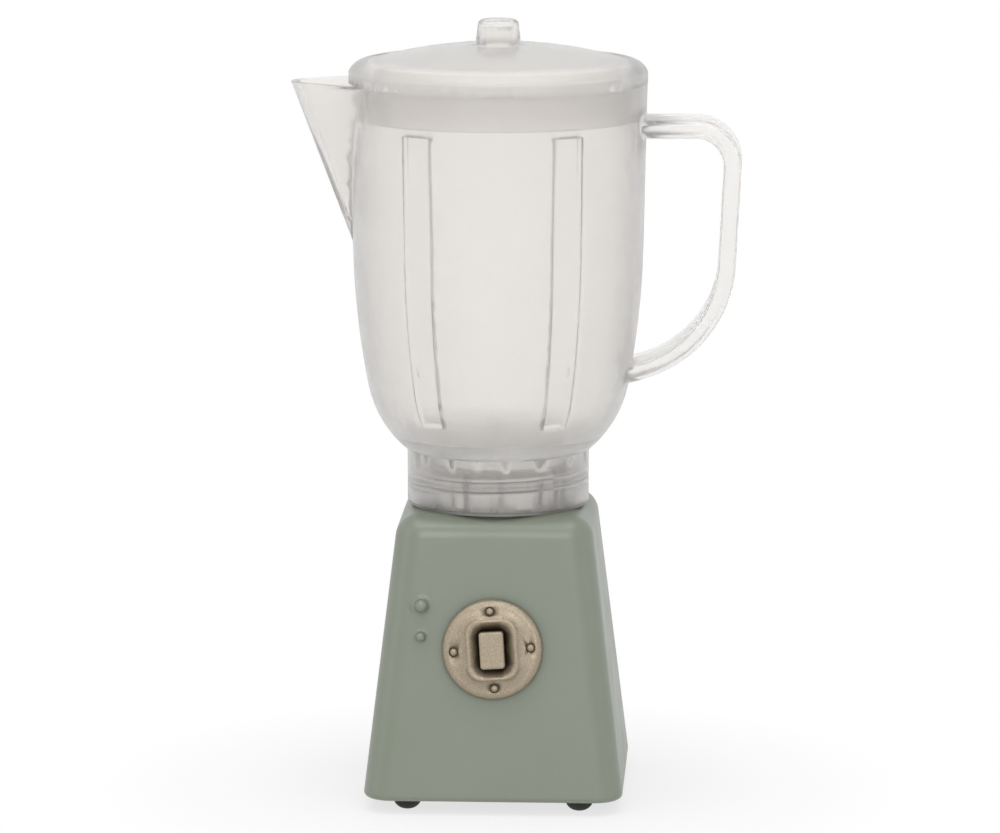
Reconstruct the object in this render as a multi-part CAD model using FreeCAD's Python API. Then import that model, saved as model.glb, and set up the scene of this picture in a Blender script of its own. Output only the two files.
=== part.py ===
import FreeCAD, Part
import math
import os

V = FreeCAD.Vector
UP = V(0, 0, 1)

# Frame: millimetres, +Z up, z = 0 at the soles of the feet, the jug's axis at x = y = 0.
# The handle is on the +X side, the spout on the -X side and the dial on the -Y side.

# Housing, a square cast shell that narrows upwards
HOUSING_BOTTOM = 1.5
HOUSING_HEIGHT = 32.5
HOUSING_HALF = 14.95
HOUSING_TAPER = 6.8
HOUSING_WALL = 1.0
HOUSING_CORNER = 3.3
HOUSING_SHOULDER = 2.8
HOUSING_HEM = 0.6

# Screw posts inside the housing, and the screws that hold the bottom plate
POST_INSET = 7.75
POST_RADIUS = 1.6
SCREW_RADIUS = 0.8
SCREW_LENGTH = 5.0
SCREW_HEAD_RADIUS = 1.45
SCREW_HEAD_HEIGHT = 0.7
SCREW_SLOT = 0.35

# Bottom plate, set up inside the housing's lower edge
PLATE_RECESS = 1.1
PLATE_THICKNESS = 1.0
PLATE_GAP = 0.15

# Rubber feet, pushed through the bottom plate
FOOT_INSET_X = 5.05
FOOT_INSET_Y = 3.75
FOOT_RADIUS = 1.65
FOOT_SOLE_RADIUS = 0.6
FOOT_STEM_RADIUS = 0.8
FOOT_BARB_RADIUS = 1.1
FOOT_BARB_HEIGHT = 0.8

# Two cast bumps on the front, beside the dial: across, above the dial's centre, foot radius
BUMPS = ((-8.16, 4.9, 1.3), (-8.25, 1.35, 0.95))
BUMP_NUB_SHARE = 0.55

# Dial plate, on the front face
DIAL_HEIGHT = 17.6
DIAL_RADIUS = 5.75
DIAL_THICKNESS = 1.05
DIAL_GAP = 0.15
DIAL_TURN = 3.8
DIAL_ROLL = 0.75
DIAL_HUB_RADIUS = 3.2
DIAL_HUB_CLEARANCE = 0.06
DIAL_HUB_LENGTH = 3.3
BEZEL_WIDTH = 6.5
BEZEL_LENGTH = 7.6
BEZEL_HEIGHT = 0.5
BEZEL_SLOPE = 0.4
BEZEL_CORNER = 2.0
BEZEL_ROUND = 0.2
WELL_SLOPE = 0.9
WELL_DEPTH = 0.8

# Rivets round the dial plate
RIVET_COUNT = 4
RIVET_CIRCLE = 4.4
RIVET_HEAD_RADIUS = 0.42
RIVET_HEAD_HEIGHT = 0.32
RIVET_SHANK_RADIUS = 0.28
RIVET_MOAT = 0.13
RIVET_MOAT_DEPTH = 0.12

# Push button in the middle of the dial plate
BUTTON_WIDTH = 2.95
BUTTON_LENGTH = 4.4
BUTTON_CORNER = 0.45
BUTTON_DRAFT = 0.09
BUTTON_TOP = 2.3
BUTTON_BOTTOM = 0.62
BUTTON_TRAVEL = 0.5
BUTTON_CLEARANCE = 0.07
BUTTON_EDGE = 0.22
BUTTON_STEM_RADIUS = 0.85
BUTTON_STEM_CLEARANCE = 0.06

# Button spring
SPRING_WIRE = 0.3
SPRING_COIL_RADIUS = 1.22
SPRING_TURNS = 3.5
SPRING_CHAMBER_GAP = 0.2
SPRING_SEAT = -2.0

# Push nuts and the dial's spring washer, all of sheet metal
NUT_THICKNESS = 0.4
NUT_RIM = 1.5
NUT_TEETH = 6
NUT_SLIT = 0.3
SPRING_WASHER_RIM = 1.3
SPRING_WASHER_THICKNESS = 0.2
SPRING_WASHER_DISH = 0.3
SPRING_WASHER_GAP = 0.12

# Threaded spigot on top of the housing
SPIGOT_ROOT_RADIUS = 8.95
SPIGOT_WALL = 1.05
SPIGOT_HEIGHT = 5.0
SPIGOT_FLOOR = 0.8
SPIGOT_STEM_RADIUS = 2.0
SPIGOT_STEM_END = 1.2
PIP_RADIUS = 0.7
PIP_SPAN = 10.6
PIP_LENGTH = 1.5
RIB_COUNT = 8
RIB_REACH = 0.45
RIB_HEIGHT = 0.75
RIB_WIDTH = 1.35

# Screw thread between the spigot and the jug
THREAD_PITCH = 1.2
THREAD_HEIGHT = 0.45
THREAD_FOOT = 0.7
THREAD_CREST = 0.3
THREAD_START = 2.1
THREAD_TURNS = 2
THREAD_SIDE_GAP = 0.25
THREAD_ROOT_SINK = 0.12

# Sealing washer under the jug's skirt
WASHER_THICKNESS = 0.3
WASHER_INSET = 0.2

# Jug
JUG_NECK_HEIGHT = 6.1
JUG_BOWL_HEIGHT = 7.4
JUG_BELLY_HEIGHT = 16.0
JUG_SIDE_HEIGHT = 19.0
JUG_RIM_RADIUS = 17.14
JUG_WALL = 1.04
JUG_DRAFT = 1.24
JUG_BELLY_RADIUS = 95.0
JUG_FLOOR = 2.1
SKIRT_RADIUS = 10.5
SKIRT_WALL = 0.85
SKIRT_STEP = 0.17
GATE_NUB_RADIUS = 0.9
GATE_NUB_HEIGHT = 0.35

# Flutes, upright ridges inside the jug's wall
FLUTE_ANGLES = (57.5, 122.5, 237.5, 302.5)
FLUTE_WIDTH = 3.8
FLUTE_DEPTH = 0.9
FLUTE_EDGE = 0.5
FLUTE_TOP_GAP = 4.9
FLUTE_LIFT = 4.2

# Spout
SPOUT_REACH = 6.66
SPOUT_NOSE_RADIUS = 3.8
SPOUT_FOOT_NOSE = 0.3
SPOUT_HALF_ANGLE = 33.0
SPOUT_DROP = 18.7
SPOUT_WALL = 1.0
SPOUT_ROOT = 2.54

# Handle, a flat strap whose middle line runs from the jug's upper wall to its lower wall
HANDLE_WIDTH = 8.0
HANDLE_THICKNESS = 2.05
HANDLE_EDGE = 0.6
HANDLE_DROP = 5.0
HANDLE_REACH = 9.81
HANDLE_CORNER_RADIUS = 4.2
HANDLE_STRAIGHT = 11.2
HANDLE_LEAN = 3.0
HANDLE_SWEEP_RADIUS = 13.4
HANDLE_SWEEP_TURN = 69.6
HANDLE_TAIL = 5.0

# Lid
LID_OVERHANG = 0.03
LID_WALL_HEIGHT = 1.2
LID_SHOULDER_RADIUS = 2.0
LID_CREASE_INSET = 2.37
LID_CREASE_HEIGHT = 2.45
LID_DOME_RISE = 2.05
LID_SKIN = 1.0
LID_PLUG_CLEARANCE = 0.1
LID_PLUG_WALL = 0.9
LID_PLUG_DEPTH = 4.0
LID_PLUG_BEVEL = 1.0
KNOB_FOOT_RADIUS = 2.6
KNOB_TOP_RADIUS = 2.35
KNOB_HEIGHT = 2.7
KNOB_EDGE = 0.6
KNOB_WALL = 0.9

# Places worked out from the sizes above
TAPER_TAN = math.tan(math.radians(HOUSING_TAPER))
TAPER_COS = math.cos(math.radians(HOUSING_TAPER))
HOUSING_TOP = HOUSING_BOTTOM + HOUSING_HEIGHT
CEILING = HOUSING_TOP - HOUSING_WALL
PLATE_BOTTOM = HOUSING_BOTTOM + PLATE_RECESS
PLATE_TOP = PLATE_BOTTOM + PLATE_THICKNESS
SKIRT_BOTTOM = HOUSING_TOP + WASHER_THICKNESS
THREAD_CREST_RADIUS = SPIGOT_ROOT_RADIUS + THREAD_HEIGHT
SKIRT_ROOT_RADIUS = SKIRT_RADIUS - SKIRT_WALL
JUG_FLOOR_Z = SKIRT_BOTTOM + JUG_NECK_HEIGHT
JUG_FLOOR_TOP = JUG_FLOOR_Z + JUG_FLOOR
JUG_BOWL_Z = JUG_FLOOR_Z + JUG_BOWL_HEIGHT
JUG_BELLY_Z = JUG_BOWL_Z + JUG_BELLY_HEIGHT
JUG_RIM_Z = JUG_BELLY_Z + JUG_SIDE_HEIGHT
FLUTE_TOP_Z = JUG_RIM_Z - FLUTE_TOP_GAP
FLUTE_BOTTOM_Z = JUG_FLOOR_Z + FLUTE_LIFT
HANDLE_TOP_Z = JUG_RIM_Z - HANDLE_DROP
SPOUT_FOOT_Z = JUG_RIM_Z - SPOUT_DROP
DRAFT_TAN = math.tan(math.radians(JUG_DRAFT))
DIAL_Z = HOUSING_BOTTOM + DIAL_HEIGHT
HUB_END = DIAL_GAP - DIAL_HUB_LENGTH


def half_width(z):
    """Half the housing's outer width at the height z."""
    return HOUSING_HALF - (z - HOUSING_BOTTOM) * TAPER_TAN


def cylinder(radius, low, high, x=0.0, y=0.0):
    """An upright cylinder from low to high."""
    return Part.makeCylinder(radius, high - low, V(x, y, low), UP)


def ring(outer, inner, low, high):
    """An upright ring about the Z axis."""
    return cylinder(outer, low, high).cut(cylinder(inner, low - 1, high + 1))


def segment(start, end):
    """A straight edge in the XZ plane between two (x, z) points."""
    return Part.LineSegment(V(start[0], 0, start[1]), V(end[0], 0, end[1])).toShape()


def polygon(points):
    """A closed face in the XZ plane through (x, z) points."""
    corners = [V(x, 0, z) for x, z in points]
    return Part.Face(Part.makePolygon(corners + corners[:1]))


def spun(face, angle=360.0):
    """The solid that a face in the XZ plane sweeps about the Z axis."""
    return face.revolve(V(0, 0, 0), UP, angle)


def turned(shape, angle):
    """A copy of the shape, turned about the Z axis."""
    copy = shape.copy()
    copy.rotate(V(0, 0, 0), UP, angle)
    return copy


def moved(shape, x, y, z):
    """A copy of the shape, shifted."""
    copy = shape.copy()
    copy.translate(V(x, y, z))
    return copy


def round_loop(shape, radius, chosen):
    """Round the edges for which the function chosen is true."""
    return shape.makeFillet(radius, [edge for edge in shape.Edges if chosen(edge)])


def at_height(z):
    """A test for edges that lie flat at the height z."""
    return lambda edge: abs(edge.BoundBox.ZMin - z) < 1e-6 and abs(edge.BoundBox.ZMax - z) < 1e-6


def slanting(edge):
    """True for an edge that climbs."""
    return edge.BoundBox.ZLength > 1e-3


def rounded_rectangle(width, length, corner, z):
    """A rectangular wire with round corners, centred on the Z axis at the height z."""
    half_x = width / 2
    half_y = length / 2
    middle = corner * (1 - math.sqrt(0.5))
    edges = []
    for quarter in range(4):
        spin = FreeCAD.Rotation(UP, 90 * quarter)
        reach, side = (half_x, half_y) if quarter % 2 == 0 else (half_y, half_x)
        start = spin.multVec(V(reach, corner - side, z))
        end = spin.multVec(V(reach, side - corner, z))
        bend = spin.multVec(V(reach - middle, side - middle, z))
        turn = spin.multVec(V(reach - corner, side, z))
        edges.append(Part.LineSegment(start, end).toShape())
        edges.append(Part.Arc(end, bend, turn).toShape())
    return Part.Wire(edges)


def slab(width, length, corner, low, high):
    """An upright block with round corners."""
    return Part.Face(rounded_rectangle(width, length, corner, low)).extrude(V(0, 0, high - low))


def tapered_slab(low_size, high_size, low, high):
    """A block whose two ends are rounded rectangles given as (width, length, corner)."""
    ends = [rounded_rectangle(*low_size, low), rounded_rectangle(*high_size, high)]
    return Part.makeLoft(ends, True, True)


def on_front(shape, x, z):
    """Stand a shape modelled along +Z on the housing's sloping front face, pointing outwards."""
    copy = shape.copy()
    lean = FreeCAD.Rotation(V(1, 0, 0), 90 - HOUSING_TAPER)
    copy.Placement = FreeCAD.Placement(V(x, -half_width(z), z), lean).multiply(copy.Placement)
    return copy


def push_nut(bore, low):
    """A sheet-metal nut with teeth that bite a plain stem of radius bore."""
    high = low + NUT_THICKNESS
    nut = ring(bore + NUT_RIM, bore, low, high)
    reach = bore + NUT_RIM / 2
    for tooth in range(NUT_TEETH):
        slit = Part.makeBox(reach, NUT_SLIT, NUT_THICKNESS, V(0, -NUT_SLIT / 2, low))
        nut = nut.cut(turned(slit, 360 * tooth / NUT_TEETH))
    return nut


def coil(radius, wire, low, high, turns):
    """A round wire wound into a helix, cut flat at both ends."""
    rise = high - low
    path = Part.makeHelix(rise / turns, rise, radius)
    section = Part.Wire(Part.makeCircle(wire / 2, V(radius, 0, 0), V(0, 1, 0)))
    return moved(Part.Wire(path).makePipeShell([section], True, True), 0, 0, low)


def thread_ridge(root, crest, low):
    """A right-handed ridge that winds up from the height low, from the radius root to the radius crest."""
    inward = 1 if crest > root else -1
    foot = root - inward * THREAD_ROOT_SINK
    slope = (THREAD_FOOT - THREAD_CREST) / 2 / abs(crest - root)
    half_foot = THREAD_CREST / 2 + slope * abs(crest - foot)
    half_crest = THREAD_CREST / 2
    corners = [(foot, -half_foot), (crest, -half_crest), (crest, half_crest), (foot, half_foot)]
    section = Part.makePolygon([V(x, 0, z) for x, z in corners + corners[:1]])
    path = Part.makeHelix(THREAD_PITCH, THREAD_PITCH * THREAD_TURNS, root)
    ridge = Part.Wire(path).makePipeShell([Part.Wire(section)], True, True)
    return moved(ridge, 0, 0, low)


def tapered_block(half_low, low, high):
    """A square block with sides that lean in by the housing's taper."""
    half_high = half_low - (high - low) * TAPER_TAN
    ends = []
    for half, z in ((half_low, low), (half_high, high)):
        ends.append(Part.makePolygon([V(half * a, half * b, z) for a, b in
                                      ((1, 1), (-1, 1), (-1, -1), (1, -1), (1, 1))]))
    return Part.makeLoft(ends, True, True)


def make_bump(foot):
    """A cast bump: a concave flare of radius foot that rises to a small round nub."""
    nub = foot * BUMP_NUB_SHARE
    flare = foot - nub
    slope = math.sqrt(0.5)
    edges = [segment((0, -HOUSING_WALL / 2), (foot, -HOUSING_WALL / 2)),
             segment((foot, -HOUSING_WALL / 2), (foot, 0)),
             Part.Arc(V(foot, 0, 0), V(foot - flare * slope, 0, flare * (1 - slope)),
                      V(nub, 0, flare)).toShape(),
             Part.Arc(V(nub, 0, flare), V(nub * slope, 0, flare + nub * slope),
                      V(0, 0, flare + nub)).toShape(),
             segment((0, flare + nub), (0, -HOUSING_WALL / 2))]
    return spun(Part.Face(Part.Wire(edges)))


def make_housing():
    """The housing: shell, screw posts, bumps and the holes for the dial and the spigot."""
    outer = tapered_block(HOUSING_HALF, HOUSING_BOTTOM, HOUSING_TOP)
    outer = round_loop(outer, HOUSING_CORNER, slanting)
    outer = round_loop(outer, HOUSING_SHOULDER, at_height(HOUSING_TOP))
    outer = round_loop(outer, HOUSING_HEM, at_height(HOUSING_BOTTOM))
    below = HOUSING_BOTTOM - 1
    inner = tapered_block(half_width(below) - HOUSING_WALL / TAPER_COS, below, CEILING)
    inner = round_loop(inner, HOUSING_CORNER - HOUSING_WALL, slanting)
    inner = round_loop(inner, HOUSING_SHOULDER - HOUSING_WALL, at_height(CEILING))
    bumps = [on_front(make_bump(foot), x, DIAL_Z + rise) for x, rise, foot in BUMPS]
    shell = outer.fuse(bumps).cut(inner)
    posts = [cylinder(POST_RADIUS, PLATE_TOP, CEILING + HOUSING_WALL / 2, x, y)
             for x, y in screw_places()]
    shell = shell.fuse(posts)
    for x, y in screw_places():
        shell = shell.cut(cylinder(SCREW_RADIUS, PLATE_TOP, PLATE_TOP + SCREW_LENGTH, x, y))
    hub_hole = cylinder(DIAL_HUB_RADIUS + DIAL_HUB_CLEARANCE, -2 * HOUSING_WALL, HOUSING_WALL)
    shell = shell.cut(on_front(hub_hole, 0, DIAL_Z))
    shell = shell.cut(cylinder(SPIGOT_STEM_RADIUS, CEILING - 1, HOUSING_TOP + 1))
    for side in (-1, 1):
        shell = shell.cut(cylinder(PIP_RADIUS, CEILING - 1, HOUSING_TOP + 1, side * PIP_SPAN / 2, 0))
    return shell.removeSplitter()


def screw_places():
    """The four (x, y) places of the screws."""
    half = HOUSING_HALF - POST_INSET
    return [(a * half, b * half) for a in (-1, 1) for b in (-1, 1)]


def foot_places():
    """The feet's names and (x, y) places."""
    places = {}
    for row, b in (("front", -1), ("rear", 1)):
        for side, a in (("left", -1), ("right", 1)):
            places[f"foot_{row}_{side}"] = (a * (HOUSING_HALF - FOOT_INSET_X),
                                            b * (HOUSING_HALF - FOOT_INSET_Y))
    return places


def make_bottom_plate():
    """The plate that closes the housing, with holes for the feet and the screws."""
    half = half_width(PLATE_TOP) - HOUSING_WALL / TAPER_COS - PLATE_GAP
    corner = HOUSING_CORNER - HOUSING_WALL
    plate = slab(2 * half, 2 * half, corner, PLATE_BOTTOM, PLATE_TOP)
    for x, y in foot_places().values():
        plate = plate.cut(cylinder(FOOT_STEM_RADIUS, PLATE_BOTTOM, PLATE_TOP, x, y))
    for x, y in screw_places():
        plate = plate.cut(cylinder(SCREW_RADIUS, PLATE_BOTTOM, PLATE_TOP, x, y))
    return plate


def make_screw():
    """A pan-head screw with a crossed slot, standing on the Z axis under the bottom plate."""
    head = cylinder(SCREW_HEAD_RADIUS, PLATE_BOTTOM - SCREW_HEAD_HEIGHT, PLATE_BOTTOM)
    head = round_loop(head, SCREW_SLOT, at_height(PLATE_BOTTOM - SCREW_HEAD_HEIGHT))
    for angle in (0, 90):
        slot = Part.makeBox(1.2 * SCREW_HEAD_RADIUS, SCREW_SLOT, SCREW_SLOT,
                            V(-0.6 * SCREW_HEAD_RADIUS, -SCREW_SLOT / 2,
                              PLATE_BOTTOM - SCREW_HEAD_HEIGHT))
        head = head.cut(turned(slot, angle))
    shank = cylinder(SCREW_RADIUS, PLATE_BOTTOM, PLATE_TOP + SCREW_LENGTH - SCREW_RADIUS)
    point = Part.makeCone(SCREW_RADIUS, SCREW_RADIUS / 4, SCREW_RADIUS,
                          V(0, 0, PLATE_TOP + SCREW_LENGTH - SCREW_RADIUS), UP)
    return head.fuse([shank, point]).removeSplitter()


def make_foot():
    """A rubber foot: a dome with a small flat sole, a stem through the plate and a barb above it."""
    rise = FOOT_RADIUS
    shoulder = math.sqrt(0.5)
    middle = (FOOT_SOLE_RADIUS + (FOOT_RADIUS - FOOT_SOLE_RADIUS) * shoulder, rise * (1 - shoulder))
    edges = [segment((0, 0), (FOOT_SOLE_RADIUS, 0)),
             Part.Arc(V(FOOT_SOLE_RADIUS, 0, 0), V(middle[0], 0, middle[1]),
                      V(FOOT_RADIUS, 0, rise)).toShape()]
    barb_low = PLATE_TOP
    barb_high = PLATE_TOP + FOOT_BARB_HEIGHT
    corners = [(FOOT_RADIUS, rise), (FOOT_RADIUS, PLATE_BOTTOM), (FOOT_STEM_RADIUS, PLATE_BOTTOM),
               (FOOT_STEM_RADIUS, barb_low), (FOOT_BARB_RADIUS, barb_low),
               (FOOT_STEM_RADIUS, barb_high), (0, barb_high), (0, 0)]
    edges += [segment(a, b) for a, b in zip(corners, corners[1:])]
    return spun(Part.Face(Part.Wire(edges)))


def make_dial_plate():
    """The dial: a round plate with a raised bezel, a well for the button and a hub behind it."""
    face = DIAL_GAP + DIAL_THICKNESS
    plate = cylinder(DIAL_RADIUS, DIAL_GAP, face)
    plate = round_loop(plate, DIAL_ROLL, at_height(face))
    crest = face + BEZEL_HEIGHT
    bezel_foot = (BEZEL_WIDTH, BEZEL_LENGTH, BEZEL_CORNER)
    bezel_crest = (BEZEL_WIDTH - 2 * BEZEL_SLOPE, BEZEL_LENGTH - 2 * BEZEL_SLOPE,
                   BEZEL_CORNER - BEZEL_SLOPE)
    bezel = tapered_slab(bezel_foot, bezel_crest, face, crest)
    bezel = round_loop(bezel, BEZEL_ROUND, at_height(crest))
    hub = cylinder(DIAL_HUB_RADIUS, HUB_END, DIAL_GAP)
    plate = plate.fuse([bezel, hub])
    pocket = button_pocket()
    mouth = tuple(size + 2 * WELL_SLOPE for size in pocket[:2]) + (pocket[2] + WELL_SLOPE,)
    plate = plate.cut(tapered_slab(pocket, mouth, crest - WELL_DEPTH, crest))
    plate = plate.cut(slab(*pocket, BUTTON_BOTTOM - BUTTON_TRAVEL - BUTTON_CLEARANCE, crest))
    chamber = SPRING_COIL_RADIUS + SPRING_WIRE / 2 + SPRING_CHAMBER_GAP
    plate = plate.cut(cylinder(chamber, SPRING_SEAT, crest))
    plate = plate.cut(cylinder(BUTTON_STEM_RADIUS + BUTTON_STEM_CLEARANCE, HUB_END - 1, crest))
    for spot in rivet_spots():
        moat = ring(RIVET_HEAD_RADIUS + RIVET_MOAT, RIVET_HEAD_RADIUS, face - RIVET_MOAT_DEPTH, face + 1)
        hole = cylinder(RIVET_SHANK_RADIUS, DIAL_GAP - 1, face + 1)
        plate = plate.cut([moved(moat, *spot), moved(hole, *spot)])
    return plate.removeSplitter()


def button_pocket():
    """The pocket that guides the button, as (width, length, corner)."""
    room = 2 * BUTTON_CLEARANCE
    return (BUTTON_WIDTH + room, BUTTON_LENGTH + room, BUTTON_CORNER + BUTTON_CLEARANCE)


def rivet_spots():
    """The rivets' (x, y, z) shifts on the dial plate."""
    spots = []
    for number in range(RIVET_COUNT):
        angle = 2 * math.pi * number / RIVET_COUNT
        spots.append((RIVET_CIRCLE * math.cos(angle), RIVET_CIRCLE * math.sin(angle), 0))
    return spots


def make_rivet():
    """A dome-headed rivet through the dial plate."""
    face = DIAL_GAP + DIAL_THICKNESS
    sphere = (RIVET_HEAD_RADIUS ** 2 + RIVET_HEAD_HEIGHT ** 2) / (2 * RIVET_HEAD_HEIGHT)
    centre = face + RIVET_HEAD_HEIGHT - sphere
    ball = Part.makeSphere(sphere, V(0, 0, centre))
    head = ball.common(cylinder(2 * sphere, face, face + 2 * RIVET_HEAD_HEIGHT))
    return head.fuse(cylinder(RIVET_SHANK_RADIUS, DIAL_GAP, face)).removeSplitter()


def make_button():
    """The push button: a key with round edges on a round stem."""
    foot = (BUTTON_WIDTH, BUTTON_LENGTH, BUTTON_CORNER)
    top = (BUTTON_WIDTH - 2 * BUTTON_DRAFT, BUTTON_LENGTH - 2 * BUTTON_DRAFT,
           BUTTON_CORNER - BUTTON_DRAFT)
    key = tapered_slab(foot, top, BUTTON_BOTTOM, BUTTON_TOP)
    key = round_loop(key, BUTTON_EDGE, at_height(BUTTON_TOP))
    stem = cylinder(BUTTON_STEM_RADIUS, HUB_END - 2 * NUT_THICKNESS, BUTTON_BOTTOM)
    return key.fuse(stem).removeSplitter()


def make_spring_washer():
    """A dished spring washer between the housing's wall and the dial's push nut."""
    inner = DIAL_HUB_RADIUS + SPRING_WASHER_GAP
    outer = inner + SPRING_WASHER_RIM
    high = -HOUSING_WALL - SPRING_WASHER_GAP
    corners = [(inner, high), (outer, high - SPRING_WASHER_DISH),
               (outer, high - SPRING_WASHER_DISH - SPRING_WASHER_THICKNESS),
               (inner, high - SPRING_WASHER_THICKNESS)]
    return spun(polygon(corners))


def make_spigot():
    """The spigot: a floor, a threaded wall, centring ribs, a stem and two pips that stop it turning."""
    top = HOUSING_TOP + SPIGOT_HEIGHT
    body = cylinder(SPIGOT_ROOT_RADIUS, HOUSING_TOP, top)
    body = body.cut(cylinder(SPIGOT_ROOT_RADIUS - SPIGOT_WALL, HOUSING_TOP + SPIGOT_FLOOR, top))
    stem = cylinder(SPIGOT_STEM_RADIUS, CEILING - NUT_THICKNESS - SPIGOT_STEM_END, HOUSING_TOP)
    pips = [cylinder(PIP_RADIUS, HOUSING_TOP - PIP_LENGTH, HOUSING_TOP, side * PIP_SPAN / 2, 0)
            for side in (-1, 1)]
    body = body.fuse([stem] + pips)
    foot = SPIGOT_ROOT_RADIUS - SPIGOT_WALL / 2
    for number in range(RIB_COUNT):
        half = RIB_WIDTH / 2
        corners = [V(foot, -half, 0), V(foot, half, 0), V(foot, 0, RIB_HEIGHT), V(foot, -half, 0)]
        wedge = Part.Face(Part.makePolygon(corners)).extrude(V(SPIGOT_WALL / 2 + RIB_REACH, 0, 0))
        body = body.fuse(turned(moved(wedge, 0, 0, HOUSING_TOP), 360 * number / RIB_COUNT))
    ridge = thread_ridge(SPIGOT_ROOT_RADIUS, THREAD_CREST_RADIUS, HOUSING_TOP + THREAD_START)
    return body.fuse(ridge).removeSplitter()


def make_washer():
    """The flat washer that the jug's skirt closes on."""
    return ring(SKIRT_RADIUS - WASHER_INSET, SKIRT_ROOT_RADIUS, HOUSING_TOP, SKIRT_BOTTOM)


def jug_wall(offset):
    """The jug's outline from rim to bowl, set in by offset: its edges, its last point and arc centre."""
    draft = math.radians(JUG_DRAFT)
    belly_x = JUG_RIM_RADIUS - JUG_SIDE_HEIGHT * DRAFT_TAN
    centre = (belly_x - JUG_BELLY_RADIUS * math.cos(draft), JUG_BELLY_Z + JUG_BELLY_RADIUS * math.sin(draft))
    bowl_angle = math.asin((centre[1] - JUG_BOWL_Z) / JUG_BELLY_RADIUS)
    bowl_x = centre[0] + JUG_BELLY_RADIUS * math.cos(bowl_angle)
    across = bowl_x - (SKIRT_RADIUS + SKIRT_STEP)
    down = JUG_BOWL_Z - JUG_FLOOR_Z
    end_angle = 2 * math.atan2(across, down) - bowl_angle
    bowl_radius = math.hypot(across, down) / (2 * math.sin((end_angle - bowl_angle) / 2))
    bowl_centre = (bowl_x - bowl_radius * math.cos(bowl_angle), JUG_BOWL_Z + bowl_radius * math.sin(bowl_angle))
    rim = (JUG_RIM_RADIUS - offset, JUG_RIM_Z)
    stations = []
    for middle, radius, first, last in ((centre, JUG_BELLY_RADIUS - offset, draft, bowl_angle),
                                        (bowl_centre, bowl_radius - offset, bowl_angle, end_angle)):
        for angle in (first, (first + last) / 2, last):
            stations.append((middle[0] + radius * math.cos(angle), middle[1] - radius * math.sin(angle)))
    points = [V(x, 0, z) for x, z in stations]
    edges = [segment(rim, stations[0]), Part.Arc(*points[:3]).toShape(), Part.Arc(*points[3:]).toShape()]
    return edges, rim, stations[-1]


def jug_filling(offset, low):
    """The solid inside the jug's outline set in by offset, down to the height low."""
    edges, rim, end = jug_wall(offset)
    edges += [segment(end, (0, end[1])), segment((0, end[1]), (0, rim[1])), segment((0, rim[1]), rim)]
    body = spun(Part.Face(Part.Wire(edges)))
    return body.common(cylinder(2 * JUG_RIM_RADIUS, low, JUG_RIM_Z + 1))


def spout_section(reach, nose, z):
    """A level outline of the spout: two flanks that meet in a round nose at x = -reach."""
    lean = math.radians(SPOUT_HALF_ANGLE)
    back = SPOUT_ROOT - JUG_RIM_RADIUS
    touch = (nose - reach - nose * math.sin(lean), nose * math.cos(lean))
    width = touch[1] + (back - touch[0]) * math.tan(lean)
    left = V(touch[0], touch[1], z)
    right = V(touch[0], -touch[1], z)
    back_left = V(back, width, z)
    back_right = V(back, -width, z)
    return Part.Wire([Part.LineSegment(back_left, left).toShape(),
                      Part.Arc(left, V(-reach, 0, z), right).toShape(),
                      Part.LineSegment(right, back_right).toShape(),
                      Part.LineSegment(back_right, back_left).toShape()])


def make_spout(inset):
    """The spout's solid, set in by inset, from its foot on the jug's wall to the rim."""
    tip = JUG_RIM_RADIUS + SPOUT_REACH
    foot_reach = JUG_RIM_RADIUS - SPOUT_DROP * DRAFT_TAN
    low = SPOUT_FOOT_Z + inset * SPOUT_DROP / (tip - foot_reach)
    top = spout_section(tip - inset, SPOUT_NOSE_RADIUS - inset, JUG_RIM_Z)
    return Part.makeLoft([spout_section(foot_reach, SPOUT_FOOT_NOSE, low), top], True, True)


def handle_path(offset):
    """The handle's middle line, set out by offset, as edges in the XZ plane with its two ends."""
    root = JUG_RIM_RADIUS - 3 * JUG_WALL
    reach = JUG_RIM_RADIUS + HANDLE_REACH
    turns = ((None, reach - HANDLE_CORNER_RADIUS - root), (HANDLE_CORNER_RADIUS, 90.0 + HANDLE_LEAN),
             (None, HANDLE_STRAIGHT), (HANDLE_SWEEP_RADIUS, HANDLE_SWEEP_TURN), (None, HANDLE_TAIL))
    x, z, heading = root, HANDLE_TOP_Z + offset, 0.0
    start = (x, z)
    edges = []
    for radius, amount in turns:
        if radius is None:
            ahead = math.radians(heading)
            end = (x + amount * math.cos(ahead), z - amount * math.sin(ahead))
            edges.append(segment((x, z), end))
        else:
            size = radius + offset
            stops = [math.radians(heading + amount * share) for share in (0, 0.5, 1)]
            centre = (x - size * math.sin(stops[0]), z - size * math.cos(stops[0]))
            spots = [V(centre[0] + size * math.sin(a), 0, centre[1] + size * math.cos(a)) for a in stops]
            edges.append(Part.Arc(*spots).toShape())
            end = (spots[2].x, spots[2].z)
            heading += amount
        x, z = end
    return edges, start, (x, z)


def make_handle():
    """The handle's strap, with its long edges rounded."""
    outer, outer_start, outer_end = handle_path(HANDLE_THICKNESS / 2)
    inner, inner_start, inner_end = handle_path(-HANDLE_THICKNESS / 2)
    outline = outer + [segment(outer_end, inner_end)] + inner + [segment(inner_start, outer_start)]
    face = Part.Face(Part.Wire(Part.__sortEdges__(outline)))
    strap = moved(face, 0, -HANDLE_WIDTH / 2, 0).extrude(V(0, HANDLE_WIDTH, 0))
    return round_loop(strap, HANDLE_EDGE, lambda edge: edge.BoundBox.YLength < 1e-6)


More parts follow.
